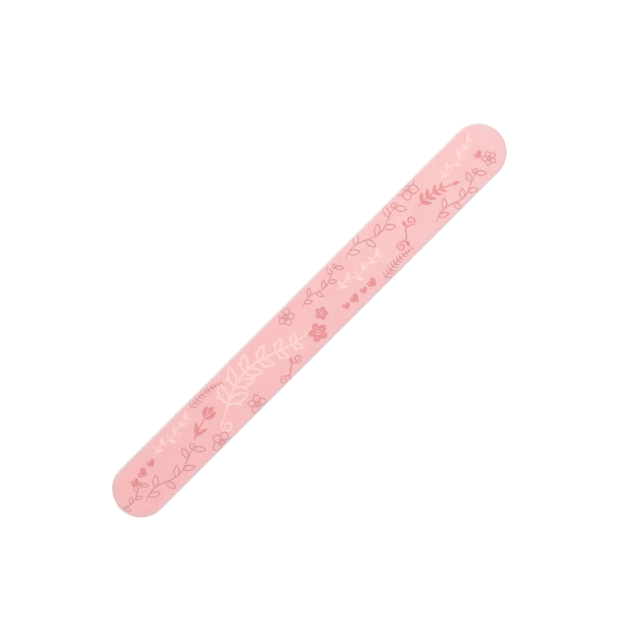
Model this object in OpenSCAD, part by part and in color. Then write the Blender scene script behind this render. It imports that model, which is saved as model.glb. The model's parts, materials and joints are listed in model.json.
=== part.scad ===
// Two-sided nail file: a stiff core between two foam cushions, with a printed
// abrasive sheet glued over each cushion. All layers are die cut together.
// Millimetres. The file lies flat on its rear face, with its length along X,
// its width along Y, and the origin at the middle of the rear face.

/* [Outline] */
// Length of the file from tip to tip
file_length = 178; // [120:1:200]
// Width of the file, which also sets its round ends
file_width = 19; // [12:0.5:30]

/* [Core] */
// Thickness of the stiff core board
core_thickness = 1; // [0.6:0.1:2]
// Thickness of the glue film between the core and each cushion
core_adhesive_thickness = 0.06; // [0.04:0.01:0.15]

/* [Cushions] */
// Thickness of each foam cushion
foam_thickness = 0.96; // [0.7:0.02:2]
// How far the cut side of the foam draws in at its middle
foam_draw_in = 0.14; // [0.04:0.02:0.3]
// Thickness of the glue film between each cushion and its abrasive sheet
sheet_adhesive_thickness = 0.06; // [0.04:0.01:0.15]

/* [Abrasive sheets] */
// Thickness of the backing paper that carries the grain
backing_thickness = 0.16; // [0.1:0.02:0.4]
// Thickness of the resin that the grain is laid in
make_coat_thickness = 0.06; // [0.04:0.01:0.12]
// Thickness of the grain layer on the front, the finer side
front_grain_thickness = 0.08; // [0.05:0.01:0.3]
// Thickness of the grain layer on the rear, the coarser side
rear_grain_thickness = 0.1; // [0.05:0.01:0.3]
// Thickness of the resin that locks the grain in place
size_coat_thickness = 0.06; // [0.04:0.01:0.12]
// Thickness of the pink coat that carries the print
colour_coat_thickness = 0.05; // [0.04:0.01:0.12]

/* [Die-cut rim] */
// Width of the rim that the cutting die pressed down
rim_width = 0.9; // [0.4:0.1:2]
// How far the die pressed the edge of each sheet into its cushion
rim_drop = 0.2; // [0.05:0.05:0.4]

/* [Hidden] */
$fn = 128;

half_width = file_width / 2;
straight_length = file_length - file_width;

// Segments across the pressed rim and up the drawn-in side of the foam
rim_steps = 6;
side_steps = 6;

// Height of the underside of each layer, from the rear face upwards
rear_colour_z = 0;
rear_size_z = rear_colour_z + colour_coat_thickness;
rear_grain_z = rear_size_z + size_coat_thickness;
rear_make_z = rear_grain_z + rear_grain_thickness;
rear_backing_z = rear_make_z + make_coat_thickness;
rear_sheet_adhesive_z = rear_backing_z + backing_thickness;
rear_foam_z = rear_sheet_adhesive_z + sheet_adhesive_thickness;
rear_core_adhesive_z = rear_foam_z + foam_thickness;
core_z = rear_core_adhesive_z + core_adhesive_thickness;
front_core_adhesive_z = core_z + core_thickness;
front_foam_z = front_core_adhesive_z + core_adhesive_thickness;
front_sheet_adhesive_z = front_foam_z + foam_thickness;
front_backing_z = front_sheet_adhesive_z + sheet_adhesive_thickness;
front_make_z = front_backing_z + backing_thickness;
front_grain_z = front_make_z + make_coat_thickness;
front_size_z = front_grain_z + front_grain_thickness;
front_colour_z = front_size_z + size_coat_thickness;

white_plastic = [0.93, 0.92, 0.90];
clear_glue = [0.91, 0.88, 0.78];
white_foam = [0.95, 0.94, 0.91];
kraft_white = [0.93, 0.90, 0.85];
pink_resin = [0.90, 0.70, 0.69];
pale_mineral = [0.86, 0.78, 0.76];
pink_coat = [0.97, 0.76, 0.76];

// How far the pressed rim lies below the flat face, at a distance in from the cut edge
function drop_at(inset) =
  rim_drop * pow(1 - inset / rim_width, 2);

// The pressed rim, from the flat face out to the cut edge, for a surface at height z
function rim_down(z) =
  [for (i = [rim_steps : -1 : 0])
    let (inset = rim_width * i / rim_steps)
    [half_width - inset, z - drop_at(inset)]];

// The same rim turned over, for a surface of the rear sheet
function rim_up(z) =
  [for (p = rim_down(-z)) [p[0], -p[1]]];

function reversed(points) =
  [for (i = [len(points) - 1 : -1 : 0]) points[i]];

// The foam's cut side, drawn in between two heights
function drawn_side(low_z, high_z) =
  [for (i = [1 : side_steps - 1])
    let (rise = i / side_steps)
    [half_width - foam_draw_in * (1 - pow(2 * rise - 1, 2)),
     low_z + (high_z - low_z) * rise]];

// Closes a lower and an upper line, both drawn from the middle outwards, into half a section
function half_section(lower, side, upper) =
  let (low_z = lower[0][1], high_z = upper[0][1])
  concat([[0, low_z]], lower, side, reversed(upper), [[0, high_z]]);

function flat_line(z) = [[half_width, z]];

// Runs half a section round the whole outline: two straight sides and two round ends
module run_round(section) {
  rotate([90, 0, 90])
    linear_extrude(height = straight_length, center = true) {
      polygon(section);
      mirror([1, 0]) polygon(section);
    }
  for (turn = [0, 180])
    rotate([0, 0, turn])
      translate([straight_length / 2, 0, 0])
        rotate([0, 0, -90])
          rotate_extrude(angle = 180)
            polygon(section);
}

// A flat layer, as the core and its glue films are
module flat_layer(z, thickness) {
  run_round(half_section(flat_line(z), [], flat_line(z + thickness)));
}

// A layer of the front sheet, whose rim turns down
module front_layer(z, thickness) {
  run_round(half_section(rim_down(z), [], rim_down(z + thickness)));
}

// A layer of the rear sheet, whose rim turns up
module rear_layer(z, thickness) {
  run_round(half_section(rim_up(z), [], rim_up(z + thickness)));
}

module core_board() {
  color(white_plastic) flat_layer(core_z, core_thickness);
}

module front_core_adhesive() {
  color(clear_glue) flat_layer(front_core_adhesive_z, core_adhesive_thickness);
}

module rear_core_adhesive() {
  color(clear_glue) flat_layer(rear_core_adhesive_z, core_adhesive_thickness);
}

module front_foam_cushion() {
  top_z = front_foam_z + foam_thickness;
  color(white_foam)
    run_round(half_section(
      flat_line(front_foam_z),
      drawn_side(front_foam_z, top_z - rim_drop),
      rim_down(top_z)));
}

module rear_foam_cushion() {
  top_z = rear_foam_z + foam_thickness;
  color(white_foam)
    run_round(half_section(
      rim_up(rear_foam_z),
      drawn_side(rear_foam_z + rim_drop, top_z),
      flat_line(top_z)));
}

module front_sheet_adhesive() {
  color(clear_glue) front_layer(front_sheet_adhesive_z, sheet_adhesive_thickness);
}

module rear_sheet_adhesive() {
  color(clear_glue) rear_layer(rear_sheet_adhesive_z, sheet_adhesive_thickness);
}

module front_backing_paper() {
  color(kraft_white) front_layer(front_backing_z, backing_thickness);
}

module rear_backing_paper() {
  color(kraft_white) rear_layer(rear_backing_z, backing_thickness);
}

module front_make_coat() {
  color(pink_resin) front_layer(front_make_z, make_coat_thickness);
}

module rear_make_coat() {
  color(pink_resin) rear_layer(rear_make_z, make_coat_thickness);
}

module front_abrasive_grain() {
  color(pale_mineral) front_layer(front_grain_z, front_grain_thickness);
}

module rear_abrasive_grain() {
  color(pale_mineral) rear_layer(rear_grain_z, rear_grain_thickness);
}

module front_size_coat() {
  color(pink_resin) front_layer(front_size_z, size_coat_thickness);
}

module rear_size_coat() {
  color(pink_resin) rear_layer(rear_size_z, size_coat_thickness);
}

module front_colour_coat() {
  color(pink_coat) front_layer(front_colour_z, colour_coat_thickness);
}

module rear_colour_coat() {
  color(pink_coat) rear_layer(rear_colour_z, colour_coat_thickness);
}

core_board();
front_core_adhesive();
rear_core_adhesive();
front_foam_cushion();
rear_foam_cushion();
front_sheet_adhesive();
rear_sheet_adhesive();
front_backing_paper();
rear_backing_paper();
front_make_coat();
rear_make_coat();
front_abrasive_grain();
rear_abrasive_grain();
front_size_coat();
rear_size_coat();
front_colour_coat();
rear_colour_coat();
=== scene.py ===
"""Looks of a printed, cushioned nail file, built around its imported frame.

The board lies on its rear face with its length along X and its front face up. The two
printed coats, the two foam cushions and the core are modelled here, because the coat's
grit, the foam's cut cells and the core's shear marks stand in relief and the print is
laid into the coat's faces. Every other layer is the frame's own node in a new finish.
"""

from __future__ import annotations

import json
import logging
import math
from collections.abc import Callable, Iterator
from contextlib import contextmanager
from dataclasses import dataclass, field
from enum import Enum
from functools import partial
from typing import Any

import bmesh
import bpy
import numpy as np
from mathutils import Matrix, Vector, noise
from mathutils.geometry import delaunay_2d_cdt

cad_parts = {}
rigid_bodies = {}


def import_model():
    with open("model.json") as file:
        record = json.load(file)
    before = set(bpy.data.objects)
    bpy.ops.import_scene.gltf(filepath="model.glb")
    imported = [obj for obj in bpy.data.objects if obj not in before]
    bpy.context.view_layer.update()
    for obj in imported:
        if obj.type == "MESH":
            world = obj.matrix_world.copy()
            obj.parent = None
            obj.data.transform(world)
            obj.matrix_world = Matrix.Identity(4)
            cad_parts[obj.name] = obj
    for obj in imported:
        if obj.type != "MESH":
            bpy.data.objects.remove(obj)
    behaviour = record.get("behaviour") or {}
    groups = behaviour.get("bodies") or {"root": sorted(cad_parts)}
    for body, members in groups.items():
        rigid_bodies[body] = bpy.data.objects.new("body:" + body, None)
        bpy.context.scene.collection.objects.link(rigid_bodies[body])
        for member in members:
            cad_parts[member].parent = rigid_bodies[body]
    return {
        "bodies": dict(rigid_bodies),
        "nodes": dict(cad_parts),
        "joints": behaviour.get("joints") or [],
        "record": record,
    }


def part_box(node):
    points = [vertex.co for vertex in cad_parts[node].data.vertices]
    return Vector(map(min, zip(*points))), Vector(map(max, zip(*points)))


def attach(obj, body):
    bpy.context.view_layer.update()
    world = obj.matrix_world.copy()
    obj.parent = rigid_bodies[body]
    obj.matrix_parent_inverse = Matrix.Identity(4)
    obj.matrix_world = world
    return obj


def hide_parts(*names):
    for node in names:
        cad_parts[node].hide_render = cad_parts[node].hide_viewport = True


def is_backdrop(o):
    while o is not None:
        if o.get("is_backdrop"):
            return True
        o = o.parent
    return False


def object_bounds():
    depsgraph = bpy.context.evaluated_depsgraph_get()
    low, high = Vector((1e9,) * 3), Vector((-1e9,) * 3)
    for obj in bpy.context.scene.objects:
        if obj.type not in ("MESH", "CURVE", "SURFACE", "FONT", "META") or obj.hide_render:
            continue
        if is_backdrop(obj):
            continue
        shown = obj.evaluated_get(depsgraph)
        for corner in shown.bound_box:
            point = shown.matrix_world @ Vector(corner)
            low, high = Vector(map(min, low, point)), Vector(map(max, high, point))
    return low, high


log = logging.getLogger("nail_file")

MM = 0.001
BODY = "root"
MAP_NAME = "OFBake"  # the name of each modelled piece's own UV map
INK_NUMBER = "ink_number"  # the attribute that holds each face's ink while the coat is built
INK_MASKS = "ink"  # the attribute through which the printed coat tells its finish what is inked
INSIDE_OUTLINES = 1  # has the triangulation keep what lies inside its outlines
SAME_POINT_MM = 1e-7  # points of the print that are nearer than this are one point
BOTH_SIDES = (1, -1)
STAY_PUT = {"value": (0, 0, 0)}  # how far new edges move as they are extruded, before they are placed

Colour = tuple[float, float, float, float]
WHITE: Colour = (1, 1, 1, 1)
Span = tuple[float, float]
Shapes = list[np.ndarray]
Socket = bpy.types.NodeSocket


class Side(Enum):
    """The two faces of the board, by the prefix of their nodes' names."""

    FRONT = "front"
    REAR = "rear"

    @property
    def outward(self) -> float:
        """1 where the face looks up, and -1 where it looks down."""
        return 1.0 if self is Side.FRONT else -1.0

    def node(self, layer: str) -> str:
        """The name of this side's node of a layer."""
        return f"{self.value}_{layer}"

    def outer_z(self, layer: str) -> float:
        """The height of the layer's outer surface in the flat middle of the board."""
        low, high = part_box(self.node(layer))
        return high.z if self is Side.FRONT else low.z


class Ink(Enum):
    """What a shape of the print leaves on the coat. BARE shows the ground again."""

    BARE = 0
    ROSE = 1
    CORAL = 2
    PALE = 3


@contextmanager
def editing(piece: bpy.types.Object, select_by: str) -> Iterator[None]:
    """Opens one piece in edit mode with nothing else selected, and closes it again.

    Args:
        piece: The mesh object to edit.
        select_by: VERT, EDGE or FACE.
    """
    bpy.ops.object.select_all(action="DESELECT")
    bpy.context.view_layer.objects.active = piece
    piece.select_set(True)
    bpy.ops.object.mode_set(mode="EDIT")
    bpy.ops.mesh.select_mode(type=select_by)
    try:
        yield
    finally:
        bpy.ops.object.mode_set(mode="OBJECT")


def pick_edges(piece: bpy.types.Object, wanted: Callable[[bmesh.types.BMEdge], bool]) -> None:
    """Selects the wanted edges of the piece in edit mode, and nothing else.

    Args:
        piece: The piece that is open in edit mode.
        wanted: A test of one edge.
    """
    bpy.ops.mesh.select_all(action="DESELECT")
    shape = bmesh.from_edit_mesh(piece.data)
    for edge in [edge for edge in shape.edges if wanted(edge)]:
        edge.select_set(True)
    bmesh.update_edit_mesh(piece.data)


def pick_open_edges() -> None:
    """Selects the open boundary of the piece that is in edit mode."""
    bpy.ops.mesh.select_all(action="DESELECT")
    others = dict.fromkeys(("use_wire", "use_multi_face", "use_non_contiguous", "use_verts"), False)
    bpy.ops.mesh.select_non_manifold(use_boundary=True, **others)


def place_picked(piece: bpy.types.Object, place: Callable[[Vector], Vector]) -> None:
    """Moves the selected points of the piece in edit mode.

    Args:
        piece: The piece that is open in edit mode.
        place: Gives the new place of a point from its old one.
    """
    shape = bmesh.from_edit_mesh(piece.data)
    for vertex in (v for v in shape.verts if v.select):
        vertex.co = place(vertex.co)
    bmesh.update_edit_mesh(piece.data)


def read_all(items: Any, name: str, kind: type, width: int = 1) -> np.ndarray:
    """Reads one number or vector of every item of a mesh.

    Args:
        items: The mesh's points, faces or corners, or the values of an attribute.
        name: What to read of each.
        kind: The kind of number.
        width: How many numbers each item has.

    Returns:
        The numbers, with a row for each item where it has more than one.
    """
    found = np.zeros(len(items) * width, kind)
    items.foreach_get(name, found)
    return found if width == 1 else found.reshape(-1, width).astype(float)


def dress(piece: bpy.types.Object, material: bpy.types.Material) -> None:
    """Gives a piece one material in place of any that it has."""
    piece.data.materials.clear()
    piece.data.materials.append(material)


@dataclass(frozen=True)
class Stadium:
    """The outline that all the layers share: two straight sides and two full-round ends."""

    half_width: float
    half_straight: float

    @classmethod
    def of_node(cls, name: str) -> Stadium:
        """Reads the outline from the box of a node that fills it.

        Args:
            name: The node's name.

        Returns:
            The outline.
        """
        low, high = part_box(name)
        half_width = (high.y - low.y) / 2
        return cls(half_width, (high.x - low.x) / 2 - half_width)

    @property
    def half_length(self) -> float:
        """From the middle of the board to its tip."""
        return self.half_width + self.half_straight

    @property
    def girth(self) -> float:
        """Once round the outline."""
        return 2 * math.pi * self.half_width + 4 * self.half_straight

    def inset_of(self, places: np.ndarray) -> np.ndarray:
        """How far in from the cut edge each place lies, given a row of coordinates for each."""
        spine = np.clip(places[:, 0], -self.half_straight, self.half_straight)
        return self.half_width - np.hypot(places[:, 0] - spine, places[:, 1])

    def run_of(self, places: np.ndarray) -> np.ndarray:
        """How far round the outline each place lies.

        Args:
            places: A row of coordinates for each place.

        Returns:
            The distances, counter-clockwise from the start of the +X end.
        """
        x, y = places[:, 0], places[:, 1]
        straight, arc = 2 * self.half_straight, math.pi * self.half_width
        beyond = np.abs(x) > self.half_straight
        angle = np.arctan2(y, x - np.copysign(self.half_straight, x))
        first_end = self.half_width * (angle + math.pi / 2)
        other_end = arc + straight + self.half_width * (angle % (2 * math.pi) - math.pi / 2)
        upper = arc + self.half_straight - x
        lower = 2 * arc + straight + self.half_straight + x
        return np.where(beyond, np.where(x > 0, first_end, other_end), np.where(y > 0, upper, lower))

    def at_inset(self, place: Vector, inset: float) -> Vector:
        """Moves a place square to the outline, and keeps its height.

        Args:
            place: Where it is.
            inset: How far in from the cut edge it goes.

        Returns:
            Where it lies then.
        """
        spine = Vector((max(-self.half_straight, min(self.half_straight, place.x)), 0, 0))
        out = Vector((place.x, place.y, 0)) - spine
        moved = spine + out.normalized() * (self.half_width - inset)
        return Vector((moved.x, moved.y, place.z))

    def points(self, pitch: float) -> np.ndarray:
        """The outline as points, counter-clockwise, with none repeated.

        Args:
            pitch: About how far apart they are.

        Returns:
            A row of coordinates for each point.
        """
        arc_steps = round(math.pi * self.half_width / pitch)
        run_steps = round(2 * self.half_straight / pitch)
        around = np.linspace(-math.pi / 2, math.pi / 2, arc_steps, endpoint=False)
        along = np.linspace(self.half_straight, -self.half_straight, run_steps, endpoint=False)
        tip = self.half_width * np.column_stack((np.cos(around), np.sin(around)))
        tip[:, 0] += self.half_straight
        run = np.column_stack((along, np.full(run_steps, self.half_width)))
        half = np.concatenate((tip, run))
        return np.concatenate((half, -half))


@dataclass(frozen=True)
class Shelf:
    """A part of a map's height, and how many rows it holds."""

    rows: int
    low: float
    high: float


class RowMap:
    """A piece's own UV map, laid in rows as books on shelves, so that what shows gets nearly all of it."""

    LEVEL_RISE = 1e-7  # metres by which the corners of a flat face may differ in height
    SIDE_MARGIN = 0.01  # shares of a row that stay free at each end, and above and below
    ROW_MARGIN = 0.06

    def __init__(self, piece: bpy.types.Object, outline: Stadium, wall_depth: float) -> None:
        """Reads the mesh and sorts its faces.

        Args:
            piece: The finished piece.
            outline: The outline that its cut side follows.
            wall_depth: How far in from the outline the cut side reaches.
        """
        self.mesh, self.outline = piece.data, outline
        faces, corners = self.mesh.polygons, self.mesh.loops
        self.first = read_all(faces, "loop_start", np.int32)
        self.face = np.repeat(np.arange(len(faces)), read_all(faces, "loop_total", np.int32))
        points = read_all(self.mesh.vertices, "co", np.float32, 3)
        self.places = points[read_all(corners, "vertex_index", np.int32)]
        self.spots = np.zeros((len(corners), 2))
        height = self.places[:, 2]
        rise = np.maximum.reduceat(height, self.first) - np.minimum.reduceat(height, self.first)
        deepest = np.maximum.reduceat(outline.inset_of(self.places), self.first)
        facing = read_all(faces, "normal", np.float32, 3)[:, 2]
        self.wall = (rise > self.LEVEL_RISE) & (deepest < wall_depth)
        self.upper = ~self.wall & (facing >= 0)
        self.lower = ~self.wall & (facing < 0)

    def _lay(self, faces: np.ndarray, along: np.ndarray, across: np.ndarray, shelf: Shelf) -> None:
        """Lays some faces in rows of equal length.

        Args:
            faces: True for each face to lay.
            along: For each corner, how far it lies along the rows.
            across: For each corner, how far it lies across them.
            shelf: Where they go.
        """
        chosen = faces[self.face]
        low = along[chosen].min()
        step = (along[chosen].max() - low) / shelf.rows
        middles = np.bincount(self.face, along) / np.bincount(self.face)
        row = np.clip((middles[self.face] - low) // step, 0, shelf.rows - 1)
        share = (across - across[chosen].min()) / np.ptp(across[chosen])
        height = (shelf.high - shelf.low) / shelf.rows
        u = self.SIDE_MARGIN + (1 - 2 * self.SIDE_MARGIN) * ((along - low) / step - row)
        v = shelf.low + height * (row + self.ROW_MARGIN + (1 - 2 * self.ROW_MARGIN) * share)
        self.spots[chosen] = np.column_stack((u, v))[chosen]

    def lay_wall(self, shelf: Shelf) -> None:
        """Lays the cut side in rows, round the outline and up the wall.

        Args:
            shelf: Where it goes.
        """
        run, girth = self.outline.run_of(self.places), self.outline.girth
        start = np.minimum.reduceat(run, self.first)[self.face]
        run += girth * np.round((start - run) / girth)
        self._lay(self.wall, run, self.places[:, 2], shelf)

    def lay_upper(self, shelf: Shelf) -> None:
        """Lays the upper face in rows, as it is seen from above."""
        self._lay(self.upper, self.places[:, 0], self.places[:, 1], shelf)

    def lay_lower(self, shelf: Shelf) -> None:
        """Lays the lower face in rows, as it is seen from below."""
        self._lay(self.lower, self.places[:, 0], -self.places[:, 1], shelf)

    def store(self) -> None:
        """Writes the map and takes every other one off the mesh."""
        while self.mesh.uv_layers:
            self.mesh.uv_layers.remove(self.mesh.uv_layers[0])
        laid = self.mesh.uv_layers.new(name=MAP_NAME)
        laid.uv.foreach_set("vector", self.spots.astype(np.float32).ravel())


@dataclass(frozen=True)
class PressedRim:
    """The rim that the cutting die pressed down: a parabola from the flat face to the edge."""

    width: float
    drop: float

    def depth(self, inset: np.ndarray | float) -> np.ndarray:
        """How far the surface lies below the flat face at an inset from the edge."""
        return self.drop * np.square(np.clip(1 - np.asarray(inset) / self.width, 0, 1))


def turned(points: np.ndarray, angle: float, at: np.ndarray | Span = (0.0, 0.0)) -> np.ndarray:
    """Turns points about the origin by an angle in radians, and then moves the origin to a place."""
    cosine, sine = math.cos(angle), math.sin(angle)
    return points @ np.array(((cosine, sine), (-sine, cosine))) + np.array(at)


def stroke(path: np.ndarray, width: float, taper: float = 0.0) -> Shapes:
    """Cuts a drawn line into four-sided shapes along its path, which never cross themselves.

    Args:
        path: The line's middle, point by point.
        width: Its width.
        taper: The share of the width that is lost towards both ends.

    Returns:
        The shapes, end to end.
    """
    heading = np.gradient(path, axis=0)
    heading /= np.maximum(np.linalg.norm(heading, axis=1), np.finfo(float).tiny)[:, None]
    from_middle = np.abs(np.linspace(-1, 1, len(path)))
    half = width / 2 * (1 - taper * from_middle**3)
    offset = np.column_stack((-heading[:, 1], heading[:, 0])) * half[:, None]
    left, right = path + offset, path - offset
    pieces = np.stack((left[:-1], right[:-1], right[1:], left[1:]), axis=1)
    from_centre = pieces - pieces.mean(axis=1, keepdims=True)
    order = np.argsort(np.arctan2(from_centre[..., 1], from_centre[..., 0]), axis=1)
    return list(np.take_along_axis(pieces, order[..., None], axis=1))


def leaf(length: float, width: float, steps: int = 16) -> np.ndarray:
    """The outline of a leaf with a pointed tip, rounder than a sine and fuller towards its base.

    Args:
        length: From its base at the origin to its tip on X.
        width: How wide it is about its middle.
        steps: How many steps each side has.

    Returns:
        The outline, from its base to its tip and back.
    """
    roundness, base_gain, tip_loss = 0.8, 1.15, 0.3
    share = np.linspace(0, 1, steps + 1)
    half = width / 2 * np.sin(math.pi * share) ** roundness * (base_gain - tip_loss * share)
    upper = np.column_stack((length * share, half))
    return np.concatenate((upper, (upper * (1, -1))[-2:0:-1]))


def ring(radius: float, steps: int = 18) -> np.ndarray:
    """The points of a circle about the origin."""
    angle = np.linspace(0, 2 * math.pi, steps, endpoint=False)
    return radius * np.column_stack((np.cos(angle), np.sin(angle)))


def closed(points: np.ndarray) -> np.ndarray:
    """An outline that ends a little past where it began, so that its stroke has no gap."""
    return np.concatenate((points, points[:2]))


def curl(radius: float, turns: float, tightening: float = 0.8, steps: int = 36) -> np.ndarray:
    """A spiral that leaves the origin along X and winds up to the left.

    Args:
        radius: How wide it starts.
        turns: How often it goes round.
        tightening: The share of the radius that it has lost at its end.
        steps: How many points it has.

    Returns:
        Its points.
    """
    angle = np.linspace(0, 2 * math.pi * turns, steps)
    reach = radius * (1 - tightening * angle / angle[-1])
    centre = np.column_stack((np.zeros(steps), np.full(steps, radius)))
    return centre + np.column_stack((reach * np.sin(angle), -reach * np.cos(angle)))


def by_turns(number: int) -> int:
    """The side that a leaf or heart takes in a row of them: -1 for the first, 1 for the next, and so on."""
    return 1 if number % 2 else -1


@dataclass(frozen=True)
class Motif:
    """One drawing of the print, in its own frame: its length along X and its middle at the origin."""

    length: float

    def shapes(self) -> Shapes:
        """The shapes that the ink fills."""
        raise NotImplementedError

    def gaps(self) -> Shapes:
        """The shapes inside them that stay bare."""
        return []

    def leaf(self, length: float, width: float, steps: int = 16) -> np.ndarray:
        """A leaf whose length and width are shares of the motif's length."""
        return leaf(length * self.length, width * self.length, steps)


@dataclass(frozen=True)
class LineMotif(Motif):
    """A drawing that has lines of its own width."""

    line: float

    def drawn(self, path: np.ndarray, taper: float = 0.0, weight: float = 1.0) -> Shapes:
        """A path as shapes of the motif's line, which tapers and may have another weight."""
        return stroke(path, weight * self.line, taper)

    def drawn_curl(self, size: float, turns: float, angle: float, at: np.ndarray, taper: float) -> Shapes:
        """A curl that leaves a place at an angle, its size a share of the motif's length."""
        return self.drawn(turned(curl(size * self.length, turns), angle, at), taper)

    def stem(
        self, bow: float, waves: float, steps: int = 60, phase: float = 0.0
    ) -> tuple[np.ndarray, np.ndarray]:
        """The motif's middle line.

        Args:
            bow: How far it swings to each side, as a share of the length.
            waves: How many half waves it makes.
            steps: How many points it has.
            phase: How far along the first wave it starts, in radians.

        Returns:
            The points, and the line's direction at each of them in radians.
        """
        share = np.linspace(0, 1, steps)
        swing = bow * self.length * np.sin(waves * math.pi * share - phase)
        line = np.column_stack((self.length * (share - 0.5), swing))
        ahead = np.gradient(line, axis=0)
        return line, np.arctan2(ahead[:, 1], ahead[:, 0])


@dataclass(frozen=True)
class Vine(LineMotif):
    """A waving stem with open leaves on both sides and a curl at its tip."""

    leaves: int = 7
    first_leaf: float = 0.6
    leaf_lean: float = math.radians(52)

    def shapes(self) -> Shapes:
        """The stem, its leaves and its curl.

        Returns:
            Their shapes.
        """
        line, heading = self.stem(bow=0.055, waves=2.6, steps=70)
        shapes = self.drawn(line, taper=0.4)
        blade = closed(self.leaf(0.16, 0.072))
        for number in range(self.leaves):
            at = int(len(line) * (number + self.first_leaf) / self.leaves)
            lean = heading[at] + by_turns(number) * self.leaf_lean
            shapes += self.drawn(turned(blade, lean, line[at]))
        return shapes + self.drawn_curl(size=0.05, turns=1.3, angle=0.9, at=line[-1], taper=0.4)


@dataclass(frozen=True)
class Fern(LineMotif):
    """A thin bowed stem with fine barbs that shorten towards its tip."""

    barbs: int = 11
    first_barb: float = 0.7
    barb_reach: float = 0.17
    barb_growth: float = 0.7
    barb_bend: float = 0.3
    barb_lean: float = math.radians(40)

    def shapes(self) -> Shapes:
        """The stem and its barbs.

        Returns:
            Their shapes.
        """
        line, heading = self.stem(bow=0.07, waves=1.0)
        shapes = self.drawn(line, taper=0.5)
        bend = np.linspace(0, 1, 8)
        for number in range(self.barbs):
            share = (number + self.first_barb) / self.barbs
            at = min(int(len(line) * share), len(line) - 1)
            reach = self.barb_reach * self.length * (1.1 - share) ** self.barb_growth
            for side in BOTH_SIDES:
                barb = np.column_stack((reach * bend, side * self.barb_bend * reach * bend**2))
                lean = heading[at] + side * self.barb_lean
                shapes += self.drawn(turned(barb, lean, line[at]), taper=0.7)
        return shapes


@dataclass(frozen=True)
class Blossom(LineMotif):
    """An open flower: outlined petals round a small ring, each with a vein."""

    petals: int = 5
    first_lean: float = 0.3
    vein_reach: Span = (1.4, 2.7)

    def shapes(self) -> Shapes:
        """The petals, their veins and the ring.

        Returns:
            Their shapes.
        """
        heart = 0.1 * self.length
        petal = closed(self.leaf(0.4, 0.34)) + (heart, 0)
        vein = np.column_stack((np.linspace(*self.vein_reach, 6) * heart, np.zeros(6)))
        shapes = self.drawn(closed(ring(0.8 * heart)))
        for number in range(self.petals):
            lean = 2 * math.pi * number / self.petals + self.first_lean
            shapes += self.drawn(turned(petal, lean))
            shapes += self.drawn(turned(vein, lean), taper=0.8, weight=0.7)
        return shapes


@dataclass(frozen=True)
class FullBlossom(Motif):
    """A full flower of five round petals with a bare ring and slits."""

    petals: int = 5
    petal_depth: float = 0.44
    roundness: float = 0.6

    def shapes(self) -> Shapes:
        """The flower's lobed outline.

        Returns:
            The one shape.
        """
        angle = np.linspace(0, 2 * math.pi, 100, endpoint=False)
        lobes = np.abs(np.cos(self.petals / 2 * angle)) ** self.roundness
        reach = self.length / 2 * (1 - self.petal_depth + self.petal_depth * lobes)
        return [np.column_stack((reach * np.cos(angle), reach * np.sin(angle)))]

    def gaps(self) -> Shapes:
        """A small ring in the middle, and a slit in each petal.

        Returns:
            Their shapes.
        """
        slit = self.leaf(0.16, 0.035, 6) + (0.17 * self.length, 0)
        rim = stroke(closed(ring(0.1 * self.length, 14)), 0.045 * self.length)
        return rim + [turned(slit, 2 * math.pi * number / self.petals) for number in range(self.petals)]


@dataclass(frozen=True)
class Hearts(Motif):
    """A row of full hearts, each one a little turned."""

    count: int = 3
    lean: float = math.radians(14)
    step_units: float = 36.0
    small: float = 0.8

    def _laid(self, drawing: np.ndarray) -> Shapes:
        """Repeats a drawing along the row, larger and smaller by turns.

        Args:
            drawing: An outline made for a heart that is 32 units wide.

        Returns:
            The outlines.
        """
        step = self.length / self.count
        laid = []
        for number in range(self.count):
            size = step / self.step_units * (1.0 if number % 2 else self.small)
            middle = (step * (number + 0.5) - self.length / 2, 0.0)
            laid.append(turned(drawing * size, self.lean * by_turns(number), middle))
        return laid

    def shapes(self) -> Shapes:
        """The hearts, from left to right, drawn with the usual curve of sines and cosines.

        Returns:
            Their shapes.
        """
        angle = np.linspace(0, 2 * math.pi, 44, endpoint=False)
        wide = 16 * np.sin(angle) ** 3
        high = 13 * np.cos(angle) - 5 * np.cos(2 * angle) - 2 * np.cos(3 * angle) - np.cos(4 * angle)
        return self._laid(np.column_stack((wide, high + 2.5)))

    def gaps(self) -> Shapes:
        """A small bare glint on the left of each heart."""
        return self._laid(turned(leaf(9, 2.6, 8), math.radians(62), (-11, 3)))


@dataclass(frozen=True)
class Branch(LineMotif):
    """A bowed stem with full leaves in pairs and one at its tip."""

    pairs: int = 4
    first_pair: float = 0.1
    leafy_share: float = 0.76
    leaf_lean: float = math.radians(46)

    def shapes(self) -> Shapes:
        """The stem and its leaves.

        Returns:
            Their shapes.
        """
        line, heading = self.stem(bow=0.08, waves=1.0, steps=40)
        shapes = self.drawn(line, taper=0.3)
        for number in range(self.pairs):
            at = int(len(line) * (self.first_pair + self.leafy_share * number / self.pairs))
            size = 0.27 * self.length * (1 - 0.1 * number)
            for side in BOTH_SIDES:
                shapes.append(turned(leaf(size, 0.4 * size), heading[at] + side * self.leaf_lean, line[at]))
        shapes.append(turned(self.leaf(0.22, 0.09), heading[-1], line[-2]))
        return shapes


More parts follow.
